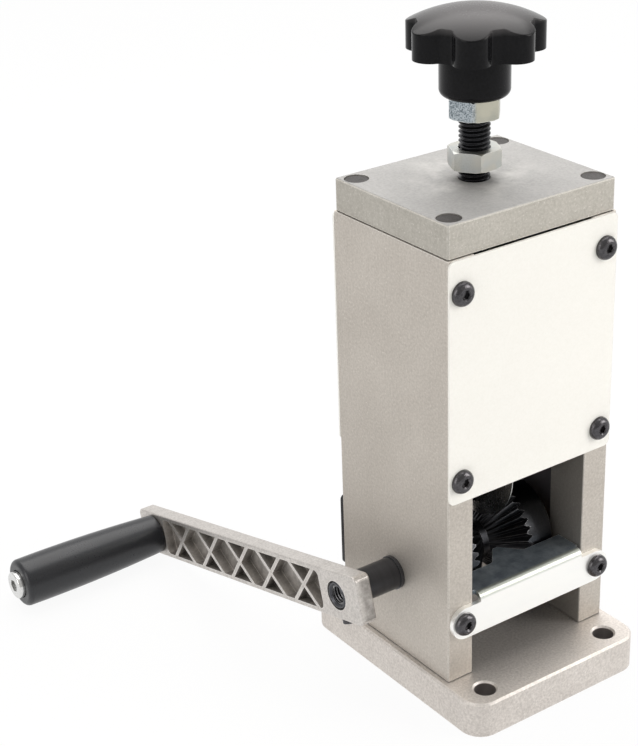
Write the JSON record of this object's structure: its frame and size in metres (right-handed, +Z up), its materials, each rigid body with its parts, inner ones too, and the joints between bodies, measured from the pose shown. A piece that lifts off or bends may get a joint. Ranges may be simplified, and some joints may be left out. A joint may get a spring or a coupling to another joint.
{
  "type": "hand crank wire stripper",
  "caption": "Bench tool with a crank-driven grooved feed roller and a round blade on a screw-adjusted carrier, between two side plates on a bolt-down base.",
  "frame": {"origin": "centre of the base plate's underside, which is the centre of its four bolt holes", "axes": "+Z up; the cable runs along Y and leaves at -Y; the crank is on the -X side"},
  "size_m": [0.1825, 0.2107, 0.2677],
  "materials": {
    "cast_aluminium": "bead blasted",
    "machined_aluminium": "fine milled",
    "crank_casting": "as cast, tumbled",
    "cover_sheet": "satin off-white",
    "zinc_sheet": "bright zinc plated",
    "black_sheet": "black oxide",
    "black_screws": "black oxide",
    "black_steel": "black oxide",
    "roller_steel": "hardened, dark",
    "blade_steel": "ground",
    "ground_steel": "ground",
    "zinc_nuts": "zinc plated",
    "bright_bolt": "polished",
    "bronze": "sintered",
    "insert_brass": "turned",
    "knob_plastic": "gloss",
    "grip_plastic": "satin",
    "plug_plastic": "matte"
  },
  "bodies": {
    "stand": {"base_plate": "cast_aluminium", "left_side_plate": "cast_aluminium", "right_side_plate": "cast_aluminium", "top_cap": "machined_aluminium", "front_cover": "cover_sheet", "rear_cover": "cover_sheet", "outfeed_chute": "zinc_sheet", "infeed_plate": "black_sheet", "front_cover_screws": "black_screws", "rear_cover_screws": "black_screws", "chute_screws": "black_screws", "infeed_screws": "black_screws", "cap_screws": "black_screws", "cap_screw_plugs": "plug_plastic", "base_screws": "black_screws", "left_shaft_bush": "bronze", "right_shaft_bush": "bronze"},
    "crank": {"drive_shaft": "black_steel", "drive_roller": "roller_steel", "roller_key": "ground_steel", "roller_set_screw": "black_screws", "thrust_washers": "ground_steel", "crank_arm": "crank_casting", "arm_set_screw": "black_screws", "grip_sleeve": "ground_steel", "handle_bolt": "bright_bolt", "handle_nut": "zinc_nuts"},
    "grip": {"handle_grip": "grip_plastic"},
    "carriage": {"blade_carrier": "black_steel", "blade_axle": "ground_steel", "axle_set_screw": "black_screws", "blade_spacers": "ground_steel", "stud_keeper": "black_steel", "keeper_screws": "black_screws"},
    "blade": {"blade_disc": "blade_steel", "blade_bush": "bronze"},
    "screw": {"adjusting_stud": "black_steel", "knob_jam_nut": "zinc_nuts", "knob_insert": "insert_brass", "knob": "knob_plastic"},
    "nut": {"lock_nut": "zinc_nuts"}
  },
  "joints": [
    {"name": "crank_turn", "type": "hinge", "parent": "stand", "child": "crank", "pos_m": [0, 0, 0.0491], "axis": [1, 0, 0], "continuous": true},
    {"name": "grip_spin", "type": "hinge", "parent": "crank", "child": "grip", "pos_m": [-0.1, 0.14199, 0.01105], "axis": [1, 0, 0], "continuous": true},
    {"name": "carriage_slide", "type": "slide", "parent": "stand", "child": "carriage", "axis": [0, 0, 1], "range_m": [-0.00175, 0.021]},
    {"name": "blade_spin", "type": "hinge", "parent": "carriage", "child": "blade", "pos_m": [0, 0, 0.0869], "axis": [1, 0, 0], "continuous": true},
    {"name": "knob_turn", "type": "hinge", "parent": "carriage", "child": "screw", "pos_m": [0, 0, 0.22], "axis": [0, 0, 1], "range_deg": [-361, 4321]},
    {"name": "lock_nut_run", "type": "slide", "parent": "stand", "child": "nut", "axis": [0, 0, 1], "range_m": [-0.0042, 0.009]}
  ],
  "couplings": [
    {"joint": "knob_turn", "follows": "carriage_slide", "rad_per_m": 3590.4}
  ]
}
